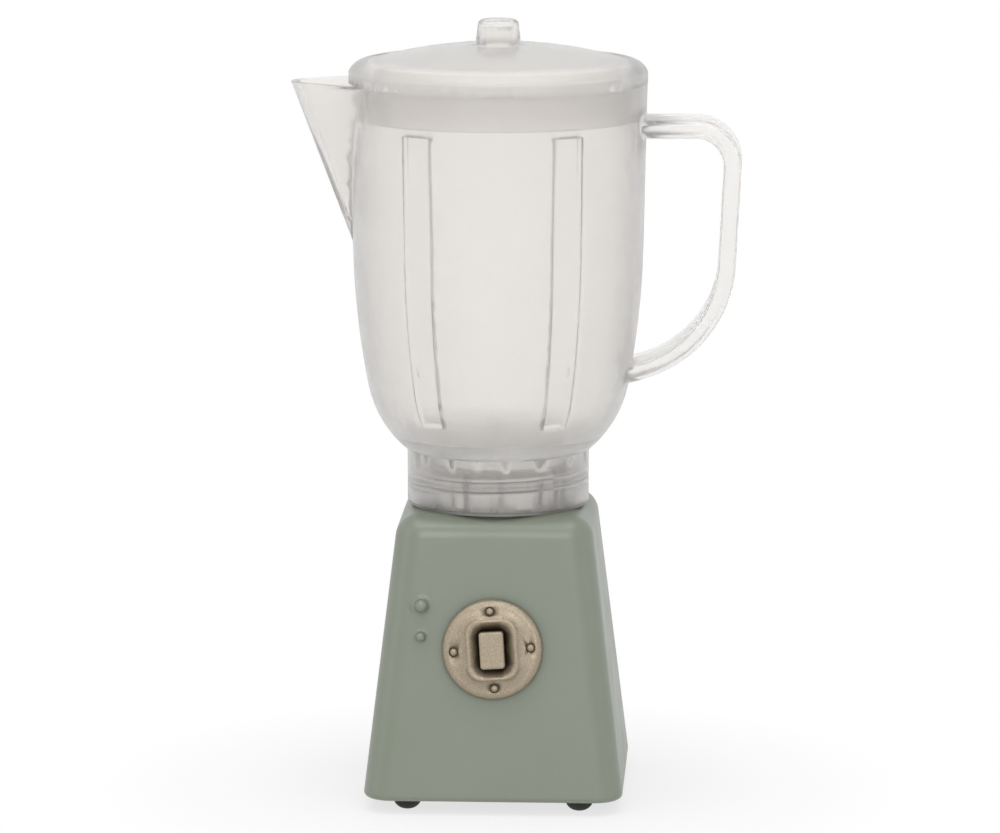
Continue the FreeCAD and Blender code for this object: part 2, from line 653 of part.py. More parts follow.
def make_flutes():
    """The upright ridges on the jug's inner wall, with their long inner edges rounded."""
    spread = math.degrees(FLUTE_WIDTH / (JUG_RIM_RADIUS - JUG_WALL))
    core = jug_filling(JUG_WALL + FLUTE_DEPTH, FLUTE_BOTTOM_Z)
    band = jug_filling(JUG_WALL / 2, FLUTE_BOTTOM_Z).cut(core)
    band = band.common(cylinder(2 * JUG_RIM_RADIUS, FLUTE_BOTTOM_Z, FLUTE_TOP_Z))
    reach = 2 * JUG_RIM_RADIUS
    wedge = spun(polygon([(0, 0), (reach, 0), (reach, JUG_RIM_Z), (0, JUG_RIM_Z)]), spread)
    flute = round_loop(band.common(turned(wedge, -spread / 2)), FLUTE_EDGE,
                       lambda edge: slanting(edge) and edge.distToShape(core)[0] < 1e-4)
    return [turned(flute, angle) for angle in FLUTE_ANGLES]


def make_jug():
    """The jug: bowl, skirt with its thread, spout, handle and flutes, in one moulding."""
    skirt = cylinder(SKIRT_RADIUS, SKIRT_BOTTOM, JUG_FLOOR_TOP)
    body = jug_filling(0, JUG_FLOOR_Z).fuse([skirt, make_spout(0), make_handle()])
    hollow = jug_filling(JUG_WALL, JUG_FLOOR_TOP)
    mouth = make_spout(SPOUT_WALL)
    body = body.cut([hollow, mouth, cylinder(SKIRT_ROOT_RADIUS, SKIRT_BOTTOM - 1, JUG_FLOOR_Z)])
    nub = cylinder(GATE_NUB_RADIUS, JUG_FLOOR_TOP - 1, JUG_FLOOR_TOP + GATE_NUB_HEIGHT)
    low = HOUSING_TOP + THREAD_START - THREAD_PITCH / 2
    crest = THREAD_CREST_RADIUS - THREAD_HEIGHT + THREAD_SIDE_GAP
    ridge = thread_ridge(SKIRT_ROOT_RADIUS, crest, low)
    return body.fuse(make_flutes() + [nub, ridge]).removeSplitter()


def make_lid():
    """The lid: a short wall, a round shoulder, a shallow dome, a hollow knob and a plug ring."""
    outer = JUG_RIM_RADIUS + LID_OVERHANG
    wall_top = JUG_RIM_Z + LID_WALL_HEIGHT
    crease_z = JUG_RIM_Z + LID_CREASE_HEIGHT
    dome_top = crease_z + LID_DOME_RISE
    crease_x = outer - LID_CREASE_INSET
    dome_radius = (crease_x ** 2 + LID_DOME_RISE ** 2) / (2 * LID_DOME_RISE)

    def dome_height(x, drop):
        return dome_top - dome_radius + math.sqrt((dome_radius - drop) ** 2 - x ** 2)

    def shoulder_middle(start, end):
        chord = math.hypot(end[0] - start[0], end[1] - start[1])
        bulge = LID_SHOULDER_RADIUS - math.sqrt(LID_SHOULDER_RADIUS ** 2 - chord ** 2 / 4)
        across = ((end[1] - start[1]) / chord, (start[0] - end[0]) / chord)
        return ((start[0] + end[0]) / 2 + bulge * across[0], (start[1] + end[1]) / 2 + bulge * across[1])

    def arc(start, middle, end):
        return Part.Arc(*[V(x, 0, z) for x, z in (start, middle, end)]).toShape()

    knob_top = dome_top + KNOB_HEIGHT
    knob_foot = (KNOB_FOOT_RADIUS, dome_height(KNOB_FOOT_RADIUS, 0))
    crease = (crease_x, crease_z)
    half = (crease_x + KNOB_FOOT_RADIUS) / 2
    wall = (outer, wall_top)
    plug = JUG_RIM_RADIUS - JUG_WALL - LID_PLUG_CLEARANCE
    plug_inner = plug - LID_PLUG_WALL
    plug_low = JUG_RIM_Z - LID_PLUG_DEPTH
    roof = dome_height(plug_inner - LID_PLUG_BEVEL, LID_SKIN)
    hollow_foot = KNOB_FOOT_RADIUS - KNOB_WALL
    hollow_top = KNOB_TOP_RADIUS - KNOB_WALL
    inner_half = (plug_inner - LID_PLUG_BEVEL + hollow_foot) / 2
    knob_round = KNOB_EDGE * (1 - math.sqrt(0.5))
    edges = [segment((plug, plug_low), (plug, JUG_RIM_Z)),
             segment((plug, JUG_RIM_Z), (outer, JUG_RIM_Z)),
             segment((outer, JUG_RIM_Z), wall),
             arc(wall, shoulder_middle(wall, crease), crease),
             arc(crease, (half, dome_height(half, 0)), knob_foot),
             segment(knob_foot, (KNOB_TOP_RADIUS, knob_top - KNOB_EDGE)),
             arc((KNOB_TOP_RADIUS, knob_top - KNOB_EDGE),
                 (KNOB_TOP_RADIUS - knob_round, knob_top - knob_round),
                 (KNOB_TOP_RADIUS - KNOB_EDGE, knob_top)),
             segment((KNOB_TOP_RADIUS - KNOB_EDGE, knob_top), (0, knob_top)),
             segment((0, knob_top), (0, knob_top - KNOB_WALL)),
             segment((0, knob_top - KNOB_WALL), (hollow_top, knob_top - KNOB_WALL)),
             segment((hollow_top, knob_top - KNOB_WALL), (hollow_foot, dome_height(hollow_foot, LID_SKIN))),
             arc((hollow_foot, dome_height(hollow_foot, LID_SKIN)),
                 (inner_half, dome_height(inner_half, LID_SKIN)), (plug_inner - LID_PLUG_BEVEL, roof)),
             segment((plug_inner - LID_PLUG_BEVEL, roof), (plug_inner, roof - LID_PLUG_BEVEL)),
             segment((plug_inner, roof - LID_PLUG_BEVEL), (plug_inner, plug_low)),
             segment((plug_inner, plug_low), (plug, plug_low))]
    return spun(Part.Face(Part.Wire(edges)))


def on_dial(shape):
    """Stand a dial piece on the front face, with the dial's slight turn."""
    return on_front(turned(shape, DIAL_TURN), 0, DIAL_Z)


def make_parts():
    """Every piece by name."""
    parts = {
        "housing": make_housing(),
        "bottom_plate": make_bottom_plate(),
        "bottom_screws": Part.makeCompound([moved(make_screw(), x, y, 0) for x, y in screw_places()]),
        "dial_plate": on_dial(make_dial_plate()),
        "dial_rivets": on_dial(Part.makeCompound([moved(make_rivet(), *spot) for spot in rivet_spots()])),
        "dial_spring_washer": on_dial(make_spring_washer()),
        "switch_button": on_dial(make_button()),
        "button_spring": on_dial(make_button_spring()),
        "spigot": make_spigot(),
        "skirt_washer": make_washer(),
        "jug": make_jug(),
        "lid": make_lid(),
    }
    washer_low = -HOUSING_WALL - SPRING_WASHER_GAP - SPRING_WASHER_DISH - SPRING_WASHER_THICKNESS
    parts["dial_push_nut"] = on_dial(push_nut(DIAL_HUB_RADIUS, washer_low - NUT_THICKNESS))
    parts["button_push_nut"] = on_dial(push_nut(BUTTON_STEM_RADIUS, HUB_END - NUT_THICKNESS))
    parts["spigot_push_nut"] = push_nut(SPIGOT_STEM_RADIUS, CEILING - NUT_THICKNESS)
    for name, (x, y) in foot_places().items():
        parts[name] = moved(make_foot(), x, y, 0)
    return parts


def make_button_spring():
    """The helical spring that lifts the button."""
    half_wire = SPRING_WIRE / 2
    return coil(SPRING_COIL_RADIUS, SPRING_WIRE, SPRING_SEAT + half_wire, BUTTON_BOTTOM - half_wire,
                SPRING_TURNS)


os.makedirs("parts", exist_ok=True)
for name, shape in make_parts().items():
    shape.exportStep(f"parts/{name}.step")
    box = shape.BoundBox
    print(name, shape.isValid(), len(shape.Solids), round(shape.Volume, 2),
          [round(c, 2) for c in (box.XMin, box.YMin, box.ZMin, box.XMax, box.YMax, box.ZMax)])
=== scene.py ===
"""A doll's-house toy blender: clear lidded jug, green cast housing, bronze dial with a button."""
import logging
import math
from dataclasses import dataclass
from enum import Enum
from functools import cache

import bmesh
import bpy
from mathutils import Matrix, Vector


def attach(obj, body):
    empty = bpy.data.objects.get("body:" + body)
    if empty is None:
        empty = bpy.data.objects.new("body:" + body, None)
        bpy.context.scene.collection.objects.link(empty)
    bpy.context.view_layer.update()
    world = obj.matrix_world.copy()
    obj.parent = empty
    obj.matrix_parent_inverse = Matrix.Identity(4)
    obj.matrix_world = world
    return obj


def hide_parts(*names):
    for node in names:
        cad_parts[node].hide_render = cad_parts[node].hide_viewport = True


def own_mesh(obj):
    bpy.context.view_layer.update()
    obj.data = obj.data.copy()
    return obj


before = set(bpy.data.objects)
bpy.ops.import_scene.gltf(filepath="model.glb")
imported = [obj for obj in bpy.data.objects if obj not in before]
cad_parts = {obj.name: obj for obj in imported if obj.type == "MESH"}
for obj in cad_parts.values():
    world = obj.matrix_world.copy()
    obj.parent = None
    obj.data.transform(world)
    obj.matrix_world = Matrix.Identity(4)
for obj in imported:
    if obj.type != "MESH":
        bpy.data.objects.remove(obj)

log = logging.getLogger("toy_blender")

MM = 0.001
WELD_DISTANCE = 0.0005 * MM
FACE_WEIGHT = 100

Colour = tuple[float, float, float]


class Sheen(Enum):
    """How a surface shines."""

    GLOSS = 0.33
    SATIN = 0.42
    DULL = 0.62


def as_linear(red: int, green: int, blue: int) -> Colour:
    """Turn a screen colour into the linear colour that a shader takes.

    Args:
        red: Screen red, 0 to 255.
        green: Screen green, 0 to 255.
        blue: Screen blue, 0 to 255.

    Returns:
        The linear colour.
    """
    def channel(value: int) -> float:
        share = value / 255
        return share / 12.92 if share <= 0.04045 else ((share + 0.055) / 1.055) ** 2.4

    return channel(red), channel(green), channel(blue)


class NodeTree:
    """A thin helper that adds nodes and links to a shader or geometry tree."""

    def __init__(self, tree: bpy.types.NodeTree) -> None:
        """Keep the tree.

        Args:
            tree: The tree to build in.
        """
        self.tree = tree

    def add(self, kind: str, settings: dict | None = None, **inputs) -> bpy.types.Node:
        """Add a node, set its properties and fill its inputs.

        Args:
            kind: The node's type name.
            settings: Properties of the node itself.
            **inputs: Input values or output sockets by name, with spaces as underscores.

        Returns:
            The new node.
        """
        node = self.tree.nodes.new(kind)
        for name, value in (settings or {}).items():
            setattr(node, name, value)
        for name, value in inputs.items():
            self.feed(node, name.replace("_", " "), value)
        return node

    def feed(self, node: bpy.types.Node, name: str | int, value) -> None:
        """Give an input a value or a link.

        Args:
            node: The node that owns the input.
            name: The input's name or number.
            value: A plain value or an output socket.
        """
        socket = node.inputs[name]
        if isinstance(value, bpy.types.NodeSocket):
            self.tree.links.new(value, socket)
        else:
            socket.default_value = value

    def maths(self, operation: str, first, second=0.0) -> bpy.types.NodeSocket:
        """Add a Math node.

        Args:
            operation: The node's operation.
            first: First value or socket.
            second: Second value or socket.

        Returns:
            The result socket.
        """
        node = self.tree.nodes.new("ShaderNodeMath")
        node.operation = operation
        self.feed(node, 0, first)
        self.feed(node, 1, second)
        return node.outputs[0]

    def blend(self, share, first, second) -> bpy.types.NodeSocket:
        """Mix two colours.

        Args:
            share: How much of the second colour shows.
            first: First colour or socket.
            second: Second colour or socket.

        Returns:
            The mixed colour.
        """
        node = self.tree.nodes.new("ShaderNodeMix")
        node.data_type = "RGBA"
        self.feed(node, 0, share)
        for slot, value in ((6, first), (7, second)):
            if not isinstance(value, bpy.types.NodeSocket):
                value = (*value, 1.0)
            self.feed(node, slot, value)
        return node.outputs[2]

    def stretch(self, value, low: float, high: float, to_low: float = 0.0,
                to_high: float = 1.0) -> bpy.types.NodeSocket:
        """Map a range onto another, clamped.

        Args:
            value: The value or socket.
            low: The value that becomes to_low.
            high: The value that becomes to_high.
            to_low: Lower result.
            to_high: Upper result.

        Returns:
            The mapped value.
        """
        node = self.tree.nodes.new("ShaderNodeMapRange")
        self.feed(node, 0, value)
        for slot, number in enumerate((low, high, to_low, to_high), start=1):
            self.feed(node, slot, number)
        return node.outputs[0]


class Effects:
    """Shader groups that several finishes share."""

    grain_detail = 2.0
    grain_roughness = 0.6
    flake_fineness = 2.3
    flake_range = (0.25, 0.85)
    wave_detail = 1.5
    wave_roughness = 0.45
    patch_detail = 4.0
    patch_roughness = 0.62
    patch_range = (0.35, 0.68)

    def __init__(self) -> None:
        """Build each group once."""
        self.grain = self._grain()
        self.orange_peel = self._orange_peel()
        self.handling = self._handling()

    @staticmethod
    def _start(name: str, inputs: dict[str, float], outputs: tuple[str, ...]) -> tuple:
        """Open a new group.

        Args:
            name: The group's name.
            inputs: Float inputs and their defaults.
            outputs: Float outputs.

        Returns:
            The group, its helper, its input node and its output node.
        """
        group = bpy.data.node_groups.new(name, "ShaderNodeTree")
        for label, value in inputs.items():
            socket = group.interface.new_socket(label, in_out="INPUT", socket_type="NodeSocketFloat")
            socket.default_value = value
        for label in outputs:
            group.interface.new_socket(label, in_out="OUTPUT", socket_type="NodeSocketFloat")
        helper = NodeTree(group)
        return group, helper, helper.add("NodeGroupInput"), helper.add("NodeGroupOutput")

    def _grain(self) -> bpy.types.NodeTree:
        """Flakes and fine bumps of metallic paint.

        Returns:
            The group, with Flakes and Height outputs.
        """
        group, tree, given, made = self._start("metallic grain", {"Size": 0.18, "Depth": 1.0},
                                               ("Flakes", "Height"))
        place = tree.add("ShaderNodeTexCoord").outputs["Object"]
        scale = tree.maths("DIVIDE", 1.0 / MM, given.outputs["Size"])
        coarse = tree.add("ShaderNodeTexNoise", Vector=place, Scale=scale, Detail=self.grain_detail,
                          Roughness=self.grain_roughness)
        finer = tree.maths("MULTIPLY", scale, self.flake_fineness)
        flakes = tree.add("ShaderNodeTexVoronoi", Vector=place, Scale=finer)
        spark = tree.stretch(flakes.outputs["Color"], *self.flake_range)
        tree.feed(made, "Flakes", spark)
        tree.feed(made, "Height", tree.maths("MULTIPLY", coarse.outputs["Fac"], given.outputs["Depth"]))
        return group

    def _orange_peel(self) -> bpy.types.NodeTree:
        """Long soft waves that thick paint dries with.

        Returns:
            The group, with a Height output.
        """
        group, tree, given, made = self._start("paint waves", {"Size": 1.2, "Depth": 1.0}, ("Height",))
        place = tree.add("ShaderNodeTexCoord").outputs["Object"]
        scale = tree.maths("DIVIDE", 1.0 / MM, given.outputs["Size"])
        waves = tree.add("ShaderNodeTexNoise", Vector=place, Scale=scale, Detail=self.wave_detail,
                         Roughness=self.wave_roughness)
        tree.feed(made, "Height", tree.maths("MULTIPLY", waves.outputs["Fac"], given.outputs["Depth"]))
        return group

    def _handling(self) -> bpy.types.NodeTree:
        """Soft uneven patches from handling.

        Returns:
            The group, with a Patches output.
        """
        group, tree, given, made = self._start("handling", {"Size": 9.0}, ("Patches",))
        place = tree.add("ShaderNodeTexCoord").outputs["Object"]
        scale = tree.maths("DIVIDE", 1.0 / MM, given.outputs["Size"])
        cloud = tree.add("ShaderNodeTexNoise", Vector=place, Scale=scale, Detail=self.patch_detail,
                         Roughness=self.patch_roughness)
        tree.feed(made, "Patches", tree.stretch(cloud.outputs["Fac"], *self.patch_range))
        return group


def use(tree: NodeTree, group: bpy.types.NodeTree, **values: float) -> bpy.types.Node:
    """Place a shared group in a material.

    Args:
        tree: The material's helper.
        group: The group to place.
        **values: Input values by name.

    Returns:
        The group's node.
    """
    return tree.add("ShaderNodeGroup", {"node_tree": group}, **values)


def new_material(name: str) -> tuple[bpy.types.Material, NodeTree, bpy.types.Node]:
    """Start a material with a Principled shader.

    Args:
        name: The material's name.

    Returns:
        The material, its helper and the shader node.
    """
    material = bpy.data.materials.new(name)
    material.use_nodes = True
    return material, NodeTree(material.node_tree), material.node_tree.nodes["Principled BSDF"]


@dataclass(frozen=True)
class Finish:
    """A material and the record's slot that it shows."""

    material: bpy.types.Material
    slot: str


@dataclass(frozen=True)
class PaintedCornerShade:
    """Painted shade in corners, from an ambient occlusion mask: how near walls have to be, and how much of
    the darker colour shows.
    """

    reach_mm: float
    samples: int
    tight: float
    open: float
    share: float

    def amount(self, tree: NodeTree) -> bpy.types.NodeSocket:
        """How much painted corner shade shows at each point.

        Args:
            tree: The material's helper.

        Returns:
            The share, from 0 in the open to the full share in a tight corner.
        """
        near = tree.add("ShaderNodeAmbientOcclusion", {"samples": self.samples},
                        Distance=self.reach_mm * MM)
        return tree.stretch(near.outputs["AO"], self.tight, self.open, self.share, 0.0)


@dataclass(frozen=True)
class GlossPaint:
    """Thick gloss paint on a cast shell, with painted shade in its corners."""

    name: str
    colour: Colour
    shade: Colour
    sheen: Sheen = Sheen.GLOSS
    uneven_shine: float = 0.07
    patch_size_mm: float = 8.0
    patch_share: float = 0.35
    # painted shade: how near walls darken the paint, and how dark that shade colour is
    painted_corner_shade: PaintedCornerShade = PaintedCornerShade(reach_mm=1.2, samples=8, tight=0.35, open=0.95, share=0.55)
    painted_shade_brightness: float = 0.55
    wave_size_mm: float = 1.3
    wave_strength: float = 0.5
    wave_depth_mm: float = 0.018
    specular: float = 0.8

    def build(self, effects: Effects) -> bpy.types.Material:
        """Make the material.

        Args:
            effects: The shared groups.

        Returns:
            The material.
        """
        material, tree, shader = new_material(self.name)
        patches = use(tree, effects.handling, Size=self.patch_size_mm).outputs["Patches"]
        # painted shade: a darker copy of the second colour, laid into corners by an ambient occlusion mask
        painted_shade_share = self.painted_corner_shade.amount(tree)
        base = tree.blend(tree.maths("MULTIPLY", patches, self.patch_share), self.colour, self.shade)
        painted_shade_colour = tuple(self.painted_shade_brightness * value for value in self.shade)
        tree.feed(shader, "Base Color", tree.blend(painted_shade_share, base, painted_shade_colour))
        shine = self.sheen.value
        rough = tree.stretch(patches, 0.0, 1.0, shine, shine + self.uneven_shine)
        tree.feed(shader, "Roughness", rough)
        waves = use(tree, effects.orange_peel, Size=self.wave_size_mm, Depth=1.0).outputs["Height"]
        bump = tree.add("ShaderNodeBump", Strength=self.wave_strength, Distance=self.wave_depth_mm * MM,
                        Height=waves)
        tree.feed(shader, "Normal", bump.outputs["Normal"])
        shader.inputs["Specular IOR Level"].default_value = self.specular
        return material


@dataclass(frozen=True)
class MetallicPaint:
    """Grainy bronze paint, with painted shade in its corners and recesses."""

    name: str
    colour: Colour
    # painted shade colour, laid into corners and recesses
    painted_shade_colour: Colour
    flake: Colour
    grain_mm: float = 0.17
    painted_corner_shade: PaintedCornerShade = PaintedCornerShade(reach_mm=0.9, samples=12, tight=0.30, open=0.92, share=0.92)
    flake_share: float = 0.45
    roughest: float = 0.48
    smoothest: float = 0.30
    bump_strength: float = 0.55
    bump_depth_mm: float = 0.05
    metal: float = 0.55

    def build(self, effects: Effects) -> bpy.types.Material:
        """Make the material.

        Args:
            effects: The shared groups.

        Returns:
            The material.
        """
        material, tree, shader = new_material(self.name)
        grain = use(tree, effects.grain, Size=self.grain_mm, Depth=1.0)
        # painted shade: the darker bronze laid into corners and recesses by an ambient occlusion mask
        painted_shade_share = self.painted_corner_shade.amount(tree)
        speckle = tree.maths("MULTIPLY", grain.outputs["Flakes"], self.flake_share)
        base = tree.blend(speckle, self.colour, self.flake)
        tree.feed(shader, "Base Color", tree.blend(painted_shade_share, base, self.painted_shade_colour))
        tree.feed(shader, "Roughness",
                  tree.stretch(grain.outputs["Flakes"], 0.0, 1.0, self.roughest, self.smoothest))
        bump = tree.add("ShaderNodeBump", Strength=self.bump_strength, Distance=self.bump_depth_mm * MM,
                        Height=grain.outputs["Height"])
        tree.feed(shader, "Normal", bump.outputs["Normal"])
        shader.inputs["Metallic"].default_value = self.metal
        return material


@dataclass(frozen=True)
class ClearPlastic:
    """Moulded clear plastic, slightly milky, with soft clouds in it."""

    name: str
    colour: Colour
    clearness: float = 0.86
    roughness: float = 0.26
    bend: float = 1.38
    cloud_size_mm: float = 9.0
    cloud_depth: float = 0.6
    cloud: float = 0.04
    cloud_grey: float = 0.5

    def build(self, effects: Effects) -> bpy.types.Material:
        """Make the material.

        Args:
            effects: The shared groups.

        Returns:
            The material.
        """
        material, tree, shader = new_material(self.name)
        clouds = use(tree, effects.orange_peel, Size=self.cloud_size_mm, Depth=self.cloud_depth)
        haze = tuple(self.cloud * self.cloud_grey + (1 - self.cloud) * value for value in self.colour)
        tree.feed(shader, "Base Color", tree.blend(clouds.outputs["Height"], self.colour, haze))
        shader.inputs["Roughness"].default_value = self.roughness
        shader.inputs["Transmission Weight"].default_value = self.clearness
        shader.inputs["IOR"].default_value = self.bend
        return material


@dataclass(frozen=True)
class PlainSolid:
    """Rubber, dark moulding or sheet steel with a little texture."""

    name: str
    colour: Colour
    sheen: Sheen
    metal: float = 0.0
    texture_mm: float = 0.35
    patch_size_mm: float = 3.0
    patch_share: float = 0.5
    worn_gain: float = 1.45
    worn_lift: float = 0.01
    uneven_shine: float = 0.12
    bump_strength: float = 0.3
    bump_depth_mm: float = 0.03

    def build(self, effects: Effects) -> bpy.types.Material:
        """Make the material.

        Args:
            effects: The shared groups.

        Returns:
            The material.
        """
        material, tree, shader = new_material(self.name)
        patches = use(tree, effects.handling, Size=self.patch_size_mm).outputs["Patches"]
        grain = use(tree, effects.grain, Size=self.texture_mm, Depth=1.0)
        worn = tuple(min(1.0, value * self.worn_gain + self.worn_lift) for value in self.colour)
        share = tree.maths("MULTIPLY", patches, self.patch_share)
        tree.feed(shader, "Base Color", tree.blend(share, self.colour, worn))
        shine = self.sheen.value
        tree.feed(shader, "Roughness", tree.stretch(patches, 0.0, 1.0, shine, shine + self.uneven_shine))
        bump = tree.add("ShaderNodeBump", Strength=self.bump_strength, Distance=self.bump_depth_mm * MM,
                        Height=grain.outputs["Height"])
        tree.feed(shader, "Normal", bump.outputs["Normal"])
        shader.inputs["Metallic"].default_value = self.metal
        return material


class Finishes:
    """All of the object's materials."""

    def __init__(self) -> None:
        """Build each finish once."""
        effects = Effects()
        looks = {
            # the second green is a random patch tone; a darker copy of it is painted shade in corners
            "green_paint": GlossPaint("sage green gloss paint", as_linear(130, 138, 122),
                                      as_linear(121, 130, 113)),
            # the second bronze colour is painted shade for corners and recesses; the third is a lighter flake
            # tone
            "bronze_paint": MetallicPaint("bronze grain paint", as_linear(150, 137, 117),
                                          as_linear(92, 81, 62), as_linear(200, 188, 167)),
            "clear_plastic": ClearPlastic("milky clear moulding", as_linear(252, 250, 248)),
            # a soft washer under the skirt; its grey, half-clear plastic is painted shade for the shadow line
            # under the skirt
            "clear_silicone": ClearPlastic("soft clear washer", as_linear(170, 168, 160), clearness=0.35,
                                           roughness=0.35),
            "dark_rubber": PlainSolid("dark rubber", as_linear(34, 35, 27), Sheen.DULL),
            "black_plastic": PlainSolid("black moulding", as_linear(46, 46, 45), Sheen.DULL),
            "zinc_steel": PlainSolid("zinc plated steel", as_linear(186, 188, 190), Sheen.SATIN,
                                     metal=1.0, texture_mm=0.5),
            "spring_steel": PlainSolid("spring steel", as_linear(150, 150, 152), Sheen.SATIN,
                                       metal=1.0, texture_mm=0.5),
        }
        made = {slot: Finish(look.build(effects), slot) for slot, look in looks.items()}
        self.green = made["green_paint"]
        self.bronze = made["bronze_paint"]
        self.clear = made["clear_plastic"]
        self.washer_with_painted_shade = made["clear_silicone"]
        self.rubber = made["dark_rubber"]
        self.black = made["black_plastic"]
        self.zinc = made["zinc_steel"]
        self.spring_steel = made["spring_steel"]


def link(name: str, mesh: bpy.types.Mesh) -> bpy.types.Object:
    """Put a mesh in the scene.

    Args:
        name: The piece's name.
        mesh: The piece's mesh.

    Returns:
        The new object.
    """
    piece = bpy.data.objects.new(name, mesh)
    bpy.context.scene.collection.objects.link(piece)
    return piece


def declare(piece: bpy.types.Object, finish: Finish, body: str, node: str) -> None:
    """Give a piece its one material, hang it on the body that it rides on, and hide the CAD node that it
    stands for.

    Args:
        piece: The piece.
        finish: Its finish.
        body: The body that it rides on.
        node: The CAD node that it stands for.
    """
    piece.data.materials.clear()
    piece.data.materials.append(finish.material)
    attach(piece, body)
    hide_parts(node)


def baked(piece: bpy.types.Object) -> bpy.types.Object:
    """Turn a piece's modifiers into its plain mesh.

    Args:
        piece: The piece.

    Returns:
        The same piece, without modifiers.
    """
    graph = bpy.context.evaluated_depsgraph_get()
    graph.update()
    mesh = bpy.data.meshes.new_from_object(piece.evaluated_get(graph), preserve_all_data_layers=True,
                                           depsgraph=graph)
    piece.modifiers.clear()
    piece.data = mesh
    return piece


def welded_copy(node: str) -> bmesh.types.BMesh:
    """A CAD node's mesh with its doubled points joined.

    Args:
        node: The CAD node.

    Returns:
        The mesh, ready to work on.
    """
    welded = bmesh.new()
    welded.from_mesh(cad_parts[node].data)
    bmesh.ops.remove_doubles(welded, verts=welded.verts, dist=WELD_DISTANCE)
    return welded


def smooth_copy(node: str, crease: float, body: str, finish: Finish) -> bpy.types.Object:
    """A welded copy of a CAD node with smooth shading, which stands for the node.

    Args:
        node: The CAD node.
        crease: Edges sharper than this many degrees stay sharp.
        body: The body that it rides on.
        finish: Its finish.

    Returns:
        The new piece.
    """
    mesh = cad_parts[node].data.copy()
    welded = welded_copy(node)
    welded.to_mesh(mesh)
    welded.free()
    mesh.shade_smooth()
    mesh.set_sharp_from_angle(angle=math.radians(crease))
    piece = link(f"{node}_finished", mesh)
    even = piece.modifiers.new("even normals", "WEIGHTED_NORMAL")
    even.keep_sharp = True
    even.weight = FACE_WEIGHT
    baked(piece)
    declare(piece, finish, body, node)
    return piece


@dataclass(frozen=True)
class Ring:
    """Equal small parts that stand round a centre, one of them copied from the CAD node."""

    node: str
    count: int
    radius: float
    start: float
    centre: Vector
    lean: float
    crease: float = 35.0

    def seed(self) -> bpy.types.Mesh:
        """The first of the parts, brought to the origin.

        Returns:
            Its mesh.
        """
        first = self._pose() @ Matrix.Rotation(math.radians(self.start), 4, "Z") @ Vector((self.radius, 0, 0))
        shell = welded_copy(self.node)
        shell.verts.ensure_lookup_table()
        found = {min(shell.verts, key=lambda vert: (vert.co - first).length)}
        front = set(found)
        while front:
            front = {edge.other_vert(vert) for vert in front for edge in vert.link_edges} - found
            found |= front
        bmesh.ops.delete(shell, geom=[vert for vert in shell.verts if vert not in found], context="VERTS")
        shell.transform(Matrix.Translation(self._pose().inverted() @ first * -1) @ self._pose().inverted())
        mesh = bpy.data.meshes.new(f"{self.node} seed")
        shell.to_mesh(mesh)
        shell.free()
        mesh.shade_smooth()
        mesh.set_sharp_from_angle(angle=math.radians(self.crease))
        return mesh

    def _pose(self) -> Matrix:
        """Where the ring stands.

        Returns:
            The matrix from the ring's own frame to the object's.
        """
        return Matrix.Translation(self.centre) @ Matrix.Rotation(math.radians(self.lean), 4, "X")

    def build(self, finish: Finish, body: str) -> bpy.types.Object:
        """Repeat the seed and turn the result into a plain mesh.

        Args:
            finish: Its finish.
            body: The body that it rides on.

        Returns:
            The new piece.
        """
        tree = ring_tree()
        piece = link(f"{self.node}_finished", self.seed())
        ring = piece.modifiers.new("ring", "NODES")
        ring.node_group = tree
        values = {"Count": self.count, "Radius": self.radius, "Start": (0.0, 0.0, math.radians(self.start)),
                  "Centre": self.centre, "Lean": (math.radians(self.lean), 0.0, 0.0),
                  "Finish": finish.material}
        for item in tree.interface.items_tree:
            if item.name in values:
                ring[item.identifier] = values[item.name]
        baked(piece)
        declare(piece, finish, body, self.node)
        return piece


@cache
def ring_tree() -> bpy.types.NodeTree:
    """The tree that repeats a part round a circle, made once for all rings.

    Returns:
        The tree, with Count, Radius, Start, Centre, Lean and Finish inputs.
    """
    group = bpy.data.node_groups.new("parts in a ring", "GeometryNodeTree")
    for label, kind in (("Part", "Geometry"), ("Count", "Int"), ("Radius", "Float"), ("Start", "Vector"),
                        ("Centre", "Vector"), ("Lean", "Vector"), ("Finish", "Material")):
        group.interface.new_socket(label, in_out="INPUT", socket_type=f"NodeSocket{kind}")
    group.interface.new_socket("Parts", in_out="OUTPUT", socket_type="NodeSocketGeometry")
    tree = NodeTree(group)
    given, made = tree.add("NodeGroupInput").outputs, tree.add("NodeGroupOutput")
    circle = tree.add("GeometryNodeMeshCircle", Vertices=given["Count"], Radius=given["Radius"])
    spots = tree.add("GeometryNodeTransform", Geometry=circle.outputs["Mesh"], Rotation=given["Start"])
    copies = tree.add("GeometryNodeInstanceOnPoints", Points=spots.outputs[0], Instance=given["Part"])
    stood = tree.add("GeometryNodeTransform", Geometry=copies.outputs[0], Rotation=given["Lean"],
                     Translation=given["Centre"])
    real = tree.add("GeometryNodeRealizeInstances", Geometry=stood.outputs[0])
    painted = tree.add("GeometryNodeSetMaterial", Geometry=real.outputs[0], Material=given["Finish"])
    tree.feed(made, "Parts", painted.outputs[0])
    return group


@dataclass
class Housing:
    """The cast housing and what closes it from below."""

    crease: float = 35.0
    screw_pitch: float = 14.4 * MM

    def build(self, finishes: Finishes) -> list[bpy.types.Object]:
        """Make the pieces.

        Args:
            finishes: The materials.

        Returns:
            The pieces.
        """
        made = [smooth_copy("housing", self.crease, "base", finishes.green),
                smooth_copy("bottom_plate", self.crease, "base", finishes.black),
                self._screws().build(finishes.zinc, "base")]
        for corner in ("front_left", "front_right", "rear_left", "rear_right"):
            made.append(smooth_copy(f"foot_{corner}", self.crease, "base", finishes.rubber))
        return made

    def _screws(self) -> Ring:
        """The four screws, on the corners of a square.

        Returns:
            The ring that they stand in.
        """
        return Ring("bottom_screws", 4, self.screw_pitch / math.sqrt(2), 45.0, Vector((0, 0, 0)), 0.0)


